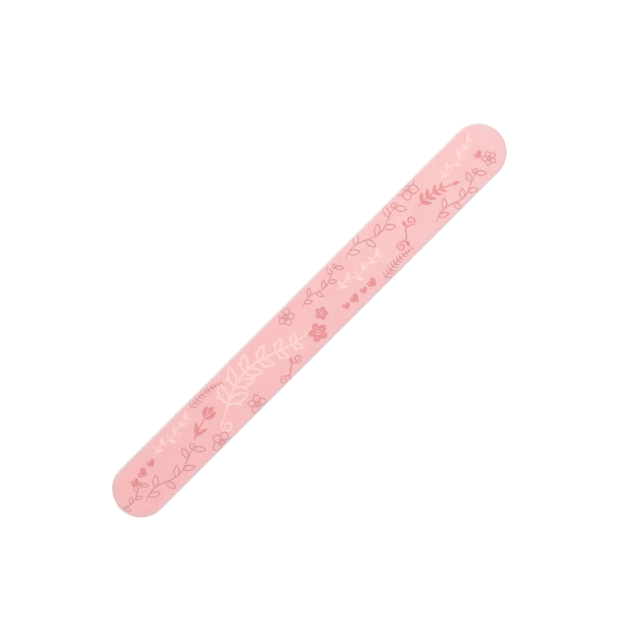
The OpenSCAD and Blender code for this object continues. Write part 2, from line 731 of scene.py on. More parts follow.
@dataclass(frozen=True)
class Tulip(LineMotif):
    """A full bud on a stem with two leaves."""

    bud_at: int = 25
    leaf_lean: float = 0.5
    petals: tuple[Span, ...] = ((0.45, 0.36), (-0.45, 0.36), (0.0, 0.42))
    slit_lean: float = 0.27

    def _stem(self) -> tuple[np.ndarray, np.ndarray]:
        """The line on which the flower stands, which its bud ends."""
        return self.stem(bow=0.05, waves=1.0, steps=40)

    def shapes(self) -> Shapes:
        """The stem, its leaves and the three petals of the bud.

        Returns:
            Their shapes.
        """
        line, heading = self._stem()
        shapes = self.drawn(line[: self.bud_at + 1], taper=0.2)
        for side in BOTH_SIDES:
            shapes.append(turned(self.leaf(0.4, 0.11), side * self.leaf_lean, line[4]))
        for lean, reach in self.petals:
            shapes.append(turned(self.leaf(reach, 0.2, 14), heading[self.bud_at] + lean, line[self.bud_at]))
        return shapes

    def gaps(self) -> Shapes:
        """Two bare slits that part the petals.

        Returns:
            Their shapes.
        """
        line, heading = self._stem()
        slit, start = self.leaf(0.28, 0.025, 8), line[self.bud_at + 1]
        return [turned(slit, heading[self.bud_at] + side * self.slit_lean, start) for side in BOTH_SIDES]


@dataclass(frozen=True)
class Spray(LineMotif):
    """A long flourish: a bowed stem with large open leaves, berries and a curl."""

    pairs: int = 6
    first_pair: float = 0.14
    leafy_share: float = 0.8
    leaf_lean: float = math.radians(46)
    berry_lean: float = math.radians(34)

    def shapes(self) -> Shapes:
        """The stem, its leaves, its berries and its curl.

        Returns:
            Their shapes.
        """
        line, heading = self.stem(bow=0.085, waves=1.7, steps=110, phase=0.5)
        shapes = self.drawn(line, taper=0.4)
        for number in range(self.pairs):
            at = int(len(line) * (self.first_pair + self.leafy_share * number / self.pairs))
            size = 0.17 * self.length * (1 - 0.09 * number)
            for side in BOTH_SIDES:
                lean = heading[at] + side * self.leaf_lean
                shapes += self.drawn(turned(closed(leaf(size, 0.4 * size, 20)), lean, line[at]))
                toward = lean + side * self.berry_lean
                berry = line[at] + 0.55 * size * np.array((math.cos(toward), math.sin(toward)))
                shapes.append(ring(0.75 * self.line, 14) + berry)
        return shapes + self.drawn_curl(size=0.05, turns=1.4, angle=math.pi, at=line[0], taper=0.4)


@dataclass(frozen=True)
class Garland(LineMotif):
    """A row of full leaves along a waving line, with a berry across from each."""

    leaves: int = 6
    first_leaf: float = 0.35
    leaf_lean: float = math.radians(44)

    def shapes(self) -> Shapes:
        """The line, the leaves and the berries.

        Returns:
            Their shapes.
        """
        line, heading = self.stem(bow=0.035, waves=3.0)
        shapes = self.drawn(line, taper=0.2, weight=0.6)
        size = 0.9 * self.length / self.leaves
        for number in range(self.leaves):
            at = int(len(line) * (number + self.first_leaf) / self.leaves)
            side = by_turns(number)
            lean = heading[at] + side * self.leaf_lean
            shapes.append(turned(leaf(1.1 * size, 0.5 * size), lean, line[at]))
            shapes.append(ring(0.16 * size, 12) + line[at] + (0.35 * size, -side * 0.42 * size))
        return shapes


@dataclass(frozen=True)
class Scroll(LineMotif):
    """An S-shaped scroll with a curl at each end and a full leaf on each bend."""

    steps: int = 50
    bend_at: int = 12
    curl_lean: float = 0.5
    leaf_lean: float = 1.9

    def shapes(self) -> Shapes:
        """The scroll and its leaves.

        Returns:
            Their shapes.
        """
        share = np.linspace(-1, 1, self.steps)
        body = np.column_stack((0.3 * self.length * share, 0.1 * self.length * np.sin(math.pi * share)))
        shapes = self.drawn(body, taper=0.2)
        ends = ((0.0, self.steps - 1, self.bend_at), (math.pi, 0, self.steps - 1 - self.bend_at))
        for turn, end, bend in ends:
            lean = turn - self.curl_lean
            shapes += self.drawn_curl(size=0.13, turns=1.3, angle=lean, at=body[end], taper=0.5)
            shapes.append(turned(self.leaf(0.22, 0.1), turn - self.leaf_lean, body[bend]))
        return shapes


@dataclass(frozen=True)
class Placed:
    """Where a motif lies on the print, as shares of the board's half length and half width."""

    ink: Ink
    motif: Motif
    along: float
    across: float
    turn: float = 0.0


# Widths of the print's lines
THIN = 0.4 * MM
FIRM = 0.55 * MM
BOLD = 0.72 * MM

PRINT: tuple[Placed, ...] = (
    Placed(Ink.PALE, Spray(43 * MM, BOLD), -0.26, 0.0, 4),
    Placed(Ink.PALE, Garland(19 * MM, BOLD), 0.26, -0.02, -5),
    Placed(Ink.PALE, Garland(17 * MM, BOLD), 0.815, 0.38, 8),
    Placed(Ink.PALE, Garland(17 * MM, BOLD), -0.67, 0.58, 3),
    Placed(Ink.ROSE, Vine(25 * MM, THIN), -0.775, -0.44, 0),
    Placed(Ink.ROSE, Fern(14 * MM, THIN), -0.475, 0.74, -6),
    Placed(Ink.ROSE, Vine(18 * MM, THIN), 0.115, 0.56, 3),
    Placed(Ink.ROSE, Vine(25 * MM, THIN), 0.395, 0.60, -2),
    Placed(Ink.ROSE, Vine(22 * MM, THIN), 0.72, -0.64, 3),
    Placed(Ink.ROSE, Fern(14 * MM, THIN), 0.385, -0.80, 4),
    Placed(Ink.ROSE, Blossom(7.5 * MM, THIN), -0.555, -0.86, 10),
    Placed(Ink.ROSE, Blossom(6.5 * MM, THIN), -0.36, -0.78, 40),
    Placed(Ink.ROSE, Blossom(8.5 * MM, THIN), 0.605, 0.92, 0),
    Placed(Ink.ROSE, Blossom(6 * MM, THIN), -0.055, 0.70, 20),
    Placed(Ink.ROSE, Blossom(5 * MM, THIN), 0.905, -0.42, 50),
    Placed(Ink.ROSE, Vine(16 * MM, THIN), 1.035, -0.04, 4),
    Placed(Ink.CORAL, Hearts(12.5 * MM, 3), -0.845, 0.34, 6),
    Placed(Ink.CORAL, Tulip(12 * MM, FIRM), -0.555, 0.08, 14),
    Placed(Ink.CORAL, FullBlossom(6.6 * MM), -0.01, -0.50),
    Placed(Ink.CORAL, FullBlossom(4.6 * MM), 0.05, -0.10, 30),
    Placed(Ink.CORAL, Hearts(15.5 * MM, 4), 0.20, -0.60, -3),
    Placed(Ink.CORAL, Scroll(12 * MM, FIRM), 0.485, -0.22, 8),
    Placed(Ink.CORAL, Branch(13.5 * MM, FIRM), 0.665, 0.0, -12),
    Placed(Ink.CORAL, Scroll(11 * MM, FIRM), -0.18, -0.74, -4),
    Placed(Ink.CORAL, Hearts(4.2 * MM, 1), 0.885, -0.08, 20),
)


@dataclass
class PrintedCoat:
    """The pink outer coat of one abrasive sheet, with its grit in relief and its print."""

    side: Side
    outline: Stadium
    rim_width: float
    roll_shift: float
    grit_size: float
    relief: float
    mean_pit: float = 0.5
    pit_contrast: float = 0.8
    grain_pitch: float = 0.25 * MM
    grain_stray: float = 0.32
    edge_pitch: float = 0.3 * MM
    clear_edge: float = 0.1 * MM
    creep: float = 0.06 * MM
    creep_size: float = 0.3 * MM
    creep_levels: Span = (0.5, 7.5)
    rim_shares: tuple[float, ...] = (0.34, 0.67, 1.0)
    smooth_angle: float = math.radians(50)
    seed: int = 5
    wall_depth: float = 0.001 * MM
    printed_shelf: Shelf = Shelf(3, 0.07, 1.0)
    wall_shelf: Shelf = Shelf(6, 0.01, 0.07)
    hidden_shelf: Shelf = Shelf(1, 0.0, 0.01)
    outer_z: float = field(init=False)
    thickness: float = field(init=False)
    rim: PressedRim = field(init=False)

    def build(self, material: bpy.types.Material) -> bpy.types.Object:
        """Models the coat, dresses it and puts it in the node's place.

        Args:
            material: The printed coat's finish.

        Returns:
            The finished piece.
        """
        node = self.side.node("colour_coat")
        low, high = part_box(node)
        self.outer_z = self.side.outer_z("colour_coat")
        self.thickness = abs(self.outer_z - self.side.outer_z("size_coat"))
        self.rim = PressedRim(self.rim_width, high.z - low.z - self.thickness)
        piece = self._lay_printed_face()
        self._turn_edge_under(piece)
        self._ink_corners(piece)
        self._lay_map(piece)
        dress(piece, material)
        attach(piece, BODY)
        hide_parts(node)
        return piece

    def _surface_z(self, inset: np.ndarray | float, below: np.ndarray | float = 0.0) -> np.ndarray:
        """The height of the coat at an inset, or of what lies some way below it."""
        return self.outer_z - self.side.outward * (self.rim.depth(inset) + below)

    def _grains(self) -> np.ndarray:
        """Uneven rows of points over the face, clear of its edge.

        Returns:
            A row of coordinates for each point.
        """
        rng = np.random.default_rng(self.seed)
        row = self.grain_pitch * math.sqrt(0.75)
        along = np.arange(-self.outline.half_length, self.outline.half_length, self.grain_pitch)
        across = np.arange(-self.outline.half_width, self.outline.half_width, row)
        x, y = np.meshgrid(along, across)
        x[::2] += self.grain_pitch / 2
        places = np.column_stack((x.ravel(), y.ravel()))
        places += rng.uniform(-self.grain_stray, self.grain_stray, places.shape) * self.grain_pitch
        return places[self.outline.inset_of(places) > self.clear_edge]

    def _print_shapes(self) -> Iterator[tuple[Ink, np.ndarray]]:
        """Each shape of the print where this sheet of the printed roll shows it.

        Yields:
            The shape's ink, and its outline.
        """
        reach = self.outline.half_length
        for placed in PRINT:
            along = (placed.along + 1 + self.roll_shift) % 2 - 1
            middle = (along * reach, placed.across * self.outline.half_width)
            for ink, shapes in ((placed.ink, placed.motif.shapes()), (Ink.BARE, placed.motif.gaps())):
                for shape in shapes:
                    laid = turned(shape, math.radians(placed.turn), middle) * (self.side.outward, 1)
                    yield ink, self._crept(laid)

    def _crept(self, shape: np.ndarray) -> np.ndarray:
        """Moves an ink outline's points a little, as ink creeps unevenly between the grains.

        Args:
            shape: The outline.

        Returns:
            The moved outline.
        """
        moves = []
        for x, y in shape:
            spot = Vector((x, y, 0)) / self.creep_size
            moves.append([noise.noise(spot + Vector((0, 0, level))) for level in self.creep_levels])
        return shape + self.creep * np.array(moves)

    def _lay_printed_face(self) -> bpy.types.Object:
        """Lays the outer face as triangles whose edges follow the grains and the print.

        Returns:
            A piece with that face alone, each triangle marked with its ink.
        """
        edge = self.outline.points(self.edge_pitch)
        outlines, inks, places = [range(len(edge))], [Ink.BARE.value], [edge, self._grains()]
        count = sum(map(len, places))
        for ink, shape in self._print_shapes():
            across = np.cross(shape - shape[0], np.roll(shape, -1, axis=0) - shape[0]).sum()
            places.append(shape if across > 0 else shape[::-1])
            outlines.append(range(count, count + len(shape)))
            inks.append(ink.value)
            count += len(shape)
        flat = [Vector(place) for place in np.concatenate(places) / MM]
        cut = delaunay_2d_cdt(flat, [], outlines, INSIDE_OUTLINES, SAME_POINT_MM, True)
        points, _, triangles, _, _, owners = cut
        kept = [(triangle, max(owner)) for triangle, owner in zip(triangles, owners) if 0 in owner]
        plan = np.array(points) * MM
        inset = self.outline.inset_of(plan)
        height = self._surface_z(inset, self._pits(plan, inset))
        turn = int(self.side.outward)
        mesh = bpy.data.meshes.new(self.side.node("printed_coat"))
        mesh.from_pydata(np.column_stack((plan, height)).tolist(), [], [t[::turn] for t, _ in kept])
        marks = mesh.attributes.new(INK_NUMBER, "INT", "FACE")
        marks.data.foreach_set("value", [inks[owner] for _, owner in kept])
        piece = bpy.data.objects.new(mesh.name, mesh)
        bpy.context.scene.collection.objects.link(piece)
        with editing(piece, "VERT"):
            bpy.ops.mesh.select_all(action="SELECT")
            bpy.ops.mesh.delete_loose()
        return piece

    def _pits(self, plan: np.ndarray, inset: np.ndarray) -> np.ndarray:
        """How far each point lies below the tips of the grit, which is nothing along the cut edge.

        Args:
            plan: A row of coordinates for each point.
            inset: How far in from the cut edge each one lies.

        Returns:
            The depths.
        """
        rise = np.array([noise.noise(Vector((x, y, self.outer_z)) / self.grit_size) for x, y in plan])
        share = np.clip(self.mean_pit - self.pit_contrast * rise, 0, 1)
        return self.relief * share * np.clip(inset / self.clear_edge, 0, 1)

    def _turn_edge_under(self, piece: bpy.types.Object) -> None:
        """Takes the face's edge down the cut, back under the pressed rim, and closes the underside.

        Args:
            piece: The coat's outer face.
        """
        with editing(piece, "EDGE"):
            pick_open_edges()
            down = (0, 0, -self.side.outward * self.thickness)
            bpy.ops.mesh.extrude_edges_move(TRANSFORM_OT_translate={"value": down})
            for share in self.rim_shares:
                bpy.ops.mesh.extrude_edges_move(TRANSFORM_OT_translate=STAY_PUT)
                place_picked(piece, partial(self._under_rim, share=share))
            bpy.ops.mesh.edge_face_add()
        bpy.ops.object.shade_smooth_by_angle(angle=self.smooth_angle)

    def _under_rim(self, place: Vector, share: float) -> Vector:
        """Where a point of the edge goes under the rim, a share of the rim's width in.

        Args:
            place: Where it is on the edge.
            share: The share of the rim's width.

        Returns:
            Where it lies then, against the layer below.
        """
        inset = share * self.rim.width
        level = float(self._surface_z(inset, self.thickness))
        return self.outline.at_inset(Vector((place.x, place.y, level)), inset)

    def _ink_corners(self, piece: bpy.types.Object) -> None:
        """Turns each face's ink number into the three masks that the finish reads.

        Args:
            piece: The closed coat.
        """
        mesh = piece.data
        numbers = read_all(mesh.attributes[INK_NUMBER].data, "value", np.int32)
        mesh.attributes.remove(mesh.attributes[INK_NUMBER])
        shown = np.repeat(numbers, read_all(mesh.polygons, "loop_total", np.int32))
        masks = np.column_stack([shown == ink.value for ink in (Ink.ROSE, Ink.CORAL, Ink.PALE)])
        stored = mesh.attributes.new(INK_MASKS, "FLOAT_VECTOR", "CORNER")
        stored.data.foreach_set("vector", masks.astype(np.float32).ravel())

    def _lay_map(self, piece: bpy.types.Object) -> None:
        """Gives the printed face most of the map, and the face under it a sliver.

        Args:
            piece: The closed coat.
        """
        rows = RowMap(piece, self.outline, self.wall_depth)
        faces = (rows.lay_upper, rows.lay_lower)
        lay_printed, lay_hidden = faces if self.side is Side.FRONT else faces[::-1]
        lay_printed(self.printed_shelf)
        rows.lay_wall(self.wall_shelf)
        lay_hidden(self.hidden_shelf)
        rows.store()


@dataclass(kw_only=True)
class CutLayer:
    """A layer whose cut side is modelled: a wall round the outline, closed above and below."""

    outline: Stadium
    end_steps: int = 296
    run_cuts: tuple[int, ...] = (52, 14)
    rise_cuts: int = 8
    smooth_angle: float = math.radians(60)
    wall_depth: float = 0.3 * MM
    weld: float = 0.01 * MM
    wall_shelf: Shelf = Shelf(18, 0.02, 1.0)
    upper_shelf: Shelf = Shelf(1, 0.01, 0.02)
    lower_shelf: Shelf = Shelf(1, 0.0, 0.01)
    low: float = field(init=False)
    high: float = field(init=False)

    def raise_wall(self, name: str, low: float, high: float) -> bpy.types.Object:
        """Models half of the wall as a round end and two straight runs, and mirrors it.

        It also keeps both heights, by which rise_of measures.

        Args:
            name: The piece's name.
            low: The height of its underside.
            high: The height of its upper side.

        Returns:
            The open wall, even and upright.
        """
        self.low, self.high = low, high
        bpy.ops.object.select_all(action="DESELECT")
        bpy.ops.mesh.primitive_cylinder_add(
            vertices=2 * self.end_steps,
            radius=self.outline.half_width,
            depth=high - low,
            end_fill_type="NOTHING",
            location=(0, 0, (low + high) / 2),
        )
        piece = bpy.context.object
        piece.name = piece.data.name = name
        bpy.ops.object.transform_apply(location=True)
        middle, near = self.outline.half_straight, self.weld
        with editing(piece, "EDGE"):
            bpy.ops.mesh.select_all(action="SELECT")
            bpy.ops.mesh.bisect(plane_co=(0, 0, 0), plane_no=(1, 0, 0), clear_inner=True)
            bpy.ops.mesh.select_all(action="SELECT")
            bpy.ops.transform.translate(value=(middle, 0, 0))
            pick_edges(piece, lambda e: all(abs(v.co.x - middle) < near for v in e.verts))
            bpy.ops.mesh.extrude_edges_move(TRANSFORM_OT_translate={"value": (-middle, 0, 0)})
            for cuts in self.run_cuts:
                pick_edges(piece, lambda e: self._level(e) and all(v.co.x < middle + near for v in e.verts))
                bpy.ops.mesh.subdivide(number_cuts=cuts)
            pick_edges(piece, lambda e: not self._level(e))
            bpy.ops.mesh.subdivide(number_cuts=self.rise_cuts)
        mirror = piece.modifiers.new("other_end", "MIRROR")
        mirror.merge_threshold = self.weld
        bpy.ops.object.modifier_apply(modifier=mirror.name)
        return piece

    def _level(self, edge: bmesh.types.BMEdge) -> bool:
        """Whether both ends of an edge are at one height."""
        return abs(edge.verts[0].co.z - edge.verts[1].co.z) < self.weld

    def rise_of(self, place: Vector) -> float:
        """How high up the wall a place is, from 0 to 1."""
        return (place.z - self.low) / (self.high - self.low)

    def carve(self, piece: bpy.types.Object, inset_at: Callable[[Vector], float]) -> None:
        """Moves each point of the wall in from the outline, square to it.

        Args:
            piece: The wall.
            inset_at: How far in a place of the even wall goes.
        """
        for vertex in piece.data.vertices:
            vertex.co = self.outline.at_inset(vertex.co, inset_at(vertex.co))

    def close(self, piece: bpy.types.Object) -> None:
        """Fills what is still open, turns the faces outwards, smooths them and lays the map.

        Args:
            piece: The carved wall.
        """
        heights = [vertex.co.z for vertex in piece.data.vertices]
        middle = (min(heights) + max(heights)) / 2
        with editing(piece, "EDGE"):
            for way in BOTH_SIDES:
                pick_edges(piece, lambda e, up=way: e.is_boundary and up * (e.verts[0].co.z - middle) > 0)
                bpy.ops.mesh.edge_face_add()
            bpy.ops.mesh.select_all(action="SELECT")
            bpy.ops.mesh.normals_make_consistent(inside=False)
        bpy.ops.object.shade_smooth_by_angle(angle=self.smooth_angle)
        rows = RowMap(piece, self.outline, self.wall_depth)
        rows.lay_wall(self.wall_shelf)
        rows.lay_upper(self.upper_shelf)
        rows.lay_lower(self.lower_shelf)
        rows.store()


@dataclass(kw_only=True)
class FoamCushion(CutLayer):
    """One foam cushion, whose cut side draws in and shows its opened cells."""

    side: Side
    rim: PressedRim
    draw_in: float = 0.14 * MM
    cell: float = 0.24 * MM
    cell_reach: float = 0.7
    pit: float = 0.055 * MM
    pit_onset: float = 3.0

    def build(self, material: bpy.types.Material) -> bpy.types.Object:
        """Models the cushion, dresses it and puts it in the node's place.

        Args:
            material: The foam's finish.

        Returns:
            The finished piece.
        """
        node = self.side.node("foam_cushion")
        low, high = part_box(node)
        front = self.side is Side.FRONT
        bottom = low.z if front else low.z + self.rim.drop
        top = high.z - self.rim.drop if front else high.z
        piece = self.raise_wall(self.side.node("foam"), bottom, top)
        self.carve(piece, self._cut_inset)
        self._follow_rim(piece)
        self.close(piece)
        dress(piece, material)
        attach(piece, BODY)
        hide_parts(node)
        return piece

    def _cut_inset(self, place: Vector) -> float:
        """The draw of the cut side, most at its middle, and the opened cells in it.

        Args:
            place: A place on the even wall.

        Returns:
            How far in it goes.
        """
        middling = 1 - (2 * self.rise_of(place) - 1) ** 2
        distances, _ = noise.voronoi(place / self.cell)
        opened = max(0.0, 1 - distances[0] / self.cell_reach)
        return self.draw_in * middling + self.pit * opened * min(1.0, self.pit_onset * middling)

    def _follow_rim(self, piece: bpy.types.Object) -> None:
        """Takes the outer edge in and up under the sheet's pressed rim.

        Args:
            piece: The carved wall.
        """
        level = self.high if self.side is Side.FRONT else self.low
        with editing(piece, "EDGE"):
            pick_edges(piece, lambda e: e.is_boundary and abs(e.verts[0].co.z - level) < self.weld)
            bpy.ops.mesh.extrude_edges_move(TRANSFORM_OT_translate=STAY_PUT)
            place_picked(piece, self._under_rim)

    def _under_rim(self, place: Vector) -> Vector:
        """Where a point of the outer edge goes, against the sheet in the flat middle of the board.

        Args:
            place: Where it is on the edge.

        Returns:
            Where it lies then.
        """
        moved = self.outline.at_inset(place, self.rim.width)
        moved.z += self.side.outward * self.rim.drop
        return moved


@dataclass(kw_only=True)
class CoreBoard(CutLayer):
    """The stiff core, whose cut side is sheared smooth above and broken off below."""

    node: str = "core_board"
    rise_cuts: int = 9
    smooth_angle: float = math.radians(50)
    sharp_share: float = 0.01
    broken_share: float = 0.36
    break_depth: float = 0.045 * MM
    break_size: float = 0.175 * MM
    break_fade: float = 0.1
    wander: float = 0.1
    wander_size: float = 2.1 * MM
    score: float = 0.02 * MM
    score_size: float = 0.35 * MM

    def build(self, material: bpy.types.Material) -> bpy.types.Object:
        """Models the core, dresses it and puts it in the node's place.

        Args:
            material: The core's finish.

        Returns:
            The finished piece.
        """
        low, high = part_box(self.node)
        piece = self.raise_wall("cut_core", low.z, high.z)
        self.carve(piece, self._cut_inset)
        self.close(piece)
        dress(piece, material)
        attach(piece, BODY)
        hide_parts(self.node)
        return piece

    def _cut_inset(self, place: Vector) -> float:
        """Upright scores all the way, and a step back below a wandering break line.

        Args:
            place: A place on the even wall.

        Returns:
            How far in it goes, which is nothing at the sharp edges above and below.
        """
        rise = self.rise_of(place)
        if min(rise, 1 - rise) < self.sharp_share:
            return 0.0
        scored = 0.5 + 0.5 * noise.noise(Vector((place.x, place.y, 0)) / self.score_size)
        swing = noise.noise(Vector((place.x, place.y, 1)) / self.wander_size)
        line = self.broken_share + self.wander * swing
        broken = min(1.0, max(0.0, (line - rise) / self.break_fade))
        rough = 0.5 + 0.5 * noise.noise(place / self.break_size)
        return self.score * scored + self.break_depth * broken * rough


class Graph:
    """A short way to write a node tree: each call adds a node and gives back its output."""

    CLOUD_DETAIL = 3.0  # how many finer layers of noise lie over the first

    def __init__(self, tree: bpy.types.NodeTree) -> None:
        """Starts on an existing tree.

        Args:
            tree: The tree of a material, a world or a group.
        """
        self.tree = tree

    def feed(self, socket: Socket, value: Any) -> None:
        """Links a socket to an input, or sets the input to a plain value.

        Args:
            socket: The input.
            value: What goes into it.
        """
        if isinstance(value, Socket):
            self.tree.links.new(value, socket)
        else:
            socket.default_value = value

    def add(self, kind: str, inputs: dict[str | int, Any] | None = None, **settings: Any) -> bpy.types.Node:
        """Adds a node.

        Args:
            kind: The node's type, without the words that all shader nodes share.
            inputs: Values or sockets, by the inputs' names or numbers.
            settings: The node's own settings.

        Returns:
            The node.
        """
        node = self.tree.nodes.new(f"ShaderNode{kind}")
        for name, value in settings.items():
            setattr(node, name, value)
        for name, value in (inputs or {}).items():
            self.feed(node.inputs[name], value)
        return node

    def math(self, operation: str, *values: Any, clamped: bool = False) -> Socket:
        """One sum of up to three numbers, which may be kept between 0 and 1."""
        inputs = dict(enumerate(values))
        return self.add("Math", inputs, operation=operation, use_clamp=clamped).outputs[0]

    def vector(self, operation: str, first: Any, second: Any) -> Socket:
        """One sum of two vectors."""
        return self.add("VectorMath", {0: first, 1: second}, operation=operation).outputs[0]

    def mix(self, share: Any, first: Any, second: Any) -> Socket:
        """A blend of two colours."""
        return self.add("Mix", {0: share, 6: first, 7: second}, data_type="RGBA").outputs[2]

    def stain(self, colour: Any, mask: Any, amount: float, other: Any) -> Socket:
        """A colour that turns towards another one under a mask, and no further than an amount."""
        return self.mix(self.math("MULTIPLY", mask, amount), colour, other)

    def spread(
        self, value: Any, low: float, high: float, to_low: float = 0.0, to_high: float = 1.0
    ) -> Socket:
        """Stretches a value's range from low to high over another range, and clamps it."""
        return self.add("MapRange", {0: value, 1: low, 2: high, 3: to_low, 4: to_high}).outputs[0]

    def clouds(self, place: Any, scale: Any) -> Socket:
        """Soft noise from 0 to 1."""
        inputs = {"Vector": place, "Scale": scale, "Detail": self.CLOUD_DETAIL}
        return self.add("TexNoise", inputs).outputs[0]


class Effect(Graph):
    """A node group that several finishes share. It takes a place and one size, and gives numbers."""

    def __init__(self, name: str, size: str, gives: tuple[str, ...]) -> None:
        """Starts the group.

        Args:
            name: The group's name.
            size: The name of the size that it takes.
            gives: The names of the numbers that it gives.
        """
        super().__init__(bpy.data.node_groups.new(name, "ShaderNodeTree"))
        sockets = [("Place", "INPUT", "Vector"), (size, "INPUT", "Float")]
        for label, direction, kind in sockets + [(label, "OUTPUT", "Float") for label in gives]:
            self.tree.interface.new_socket(label, in_out=direction, socket_type=f"NodeSocket{kind}")
        self.place, self.size = self.tree.nodes.new("NodeGroupInput").outputs[:2]
        self.results = self.tree.nodes.new("NodeGroupOutput").inputs

    def give(self, *values: Socket) -> bpy.types.NodeTree:
        """Ends the group.

        Args:
            values: What each of its outputs gives, in their order.

        Returns:
            The group, to place in finishes.
        """
        for result, value in zip(self.results, values):
            self.feed(result, value)
        return self.tree


class Effects:
    """The effects that several finishes share, each one a node group that is built once."""

    def __init__(self, outline: Stadium) -> None:
        """Builds the groups.

        Args:
            outline: The outline that the edge effect measures from.
        """
        self.outline = outline
        self.grit = self._grit()
        self.cut_lines = self._cut_lines()
        self.mottle = self._mottle()
        self.edge = self._edge()

    def _grit(self) -> bpy.types.NodeTree:
        """Packed angular grains of two sizes: their height, each one's own tone, the tips and the pits.

        Returns:
            The group.
        """
        large_scale, slope, swell_share, gain_by_tone = 0.58, 0.8, 0.4, (0.3, 0.6)
        tips, pits = (0.62, 0.80), (0.40, 0.24)
        effect = Effect("packed_grains", "Grain", ("Height", "Tone", "Tips", "Pits"))
        scale = effect.math("DIVIDE", 1.0, effect.size)
        small = effect.add("TexVoronoi", {"Vector": effect.place, "Scale": scale}, distance="MANHATTAN")
        wide = effect.math("MULTIPLY", scale, large_scale)
        large = effect.add("TexVoronoi", {"Vector": effect.place, "Scale": wide}, distance="CHEBYCHEV")
        tone = effect.add("SeparateColor", {0: small.outputs["Color"]}).outputs[0]
        rise = effect.math("SUBTRACT", 1.0, effect.math("MULTIPLY", small.outputs["Distance"], slope))
        swell = effect.math("SUBTRACT", 1.0, large.outputs["Distance"])
        grains = effect.math("MULTIPLY", rise, effect.spread(tone, 0.0, 1.0, *gain_by_tone))
        height = effect.math("ADD", grains, effect.math("MULTIPLY", swell, swell_share))
        return effect.give(height, tone, effect.spread(height, *tips), effect.spread(height, *pits))

    def _cut_lines(self) -> bpy.types.NodeTree:
        """The fine upright lines that the cutting die leaves on a cut side: their height and the lines.

        Returns:
            The group.
        """
        drawn_out, line_heights = (1.0, 1.0, 0.06), (0.52, 0.68)
        effect = Effect("die_cut_lines", "Spacing", ("Height", "Lines"))
        across = effect.math("DIVIDE", 1.0, effect.size)
        upright = effect.vector("MULTIPLY", effect.place, drawn_out)
        height = effect.clouds(upright, across)
        return effect.give(height, effect.spread(height, *line_heights))

    def _mottle(self) -> bpy.types.NodeTree:
        """Soft, broad unevenness, from 0 to 1.

        Returns:
            The group.
        """
        contrast = (0.3, 0.7)
        effect = Effect("mottle", "Size", ("Value",))
        scale = effect.math("DIVIDE", 1.0, effect.size)
        return effect.give(effect.spread(effect.clouds(effect.place, scale), *contrast))

    def _edge(self) -> bpy.types.NodeTree:
        """A band along the cut edge: 1 at the edge, falling to 0 at the band's width.

        Returns:
            The group.
        """
        effect = Effect("edge_band", "Band", ("Mask",))
        along, across = effect.add("SeparateXYZ", {0: effect.place}).outputs[:2]
        past_run = effect.math("SUBTRACT", effect.math("ABSOLUTE", along), self.outline.half_straight)
        past_run = effect.math("MAXIMUM", past_run, 0.0)
        squares = [effect.math("POWER", length, 2.0) for length in (past_run, across)]
        out = effect.math("SQRT", effect.math("ADD", *squares))
        inset = effect.math("SUBTRACT", self.outline.half_width, out)
        share = effect.math("DIVIDE", inset, effect.size)
        return effect.give(effect.math("SUBTRACT", 1.0, share, clamped=True))


class Coating(Graph):
    """The material of one finish as it is made: its node tree, its shader and the shared effects."""

    def __init__(self, name: str, effects: Effects) -> None:
        """Starts the material.

        Args:
            name: The material's name.
            effects: The shared node groups.
        """
        self.material = bpy.data.materials.new(name)
        self.material.use_nodes = True
        super().__init__(self.material.node_tree)
        self.effects = effects
        self.shader = self.tree.nodes["Principled BSDF"].inputs
        self.place = self.add("TexCoord").outputs["Object"]

    def effect(self, group: bpy.types.NodeTree, size: float) -> list[Socket]:
        """What a shared effect gives at a size: its outputs, in their order."""
        return list(self.add("Group", {0: self.place, 1: size}, node_tree=group).outputs)

    def mottle(self, size: float) -> Socket:
        """Soft, broad unevenness of a size."""
        return self.effect(self.effects.mottle, size)[0]

    def edge(self, band: float) -> Socket:
        """A mask that falls from the cut edge over a band's width."""
        return self.effect(self.effects.edge, band)[0]

    def finish(
        self, colour: Socket, roughness: Socket, height: Socket, depth: float, strength: float
    ) -> None:
        """Links the shader's colour and roughness, and gives it a relief.

        Args:
            colour: Its colour.
            roughness: Its roughness.
            height: The relief, from 0 to 1.
            depth: How deep the relief is.
            strength: How much of it shows.
        """
        self.feed(self.shader["Base Color"], colour)
        self.feed(self.shader["Roughness"], roughness)
        bump = self.add("Bump", {"Height": height, "Distance": depth, "Strength": strength})
        self.feed(self.shader["Normal"], bump.outputs["Normal"])


@dataclass(frozen=True)
class Finish:
    """A procedural material for one kind of surface. Subclasses add what that surface shows."""

    name: str
    colour: Colour
    roughness: float

    def material(self, effects: Effects) -> bpy.types.Material:
        """Builds the material.

        Args:
            effects: The shared node groups.

        Returns:
            The material, ready for a piece.
        """
        coating = Coating(self.name, effects)
        self.paint(coating)
        return coating.material

    def paint(self, coating: Coating) -> None:
        """Gives the coating its colour, roughness and relief, in each kind's own way."""
        raise NotImplementedError


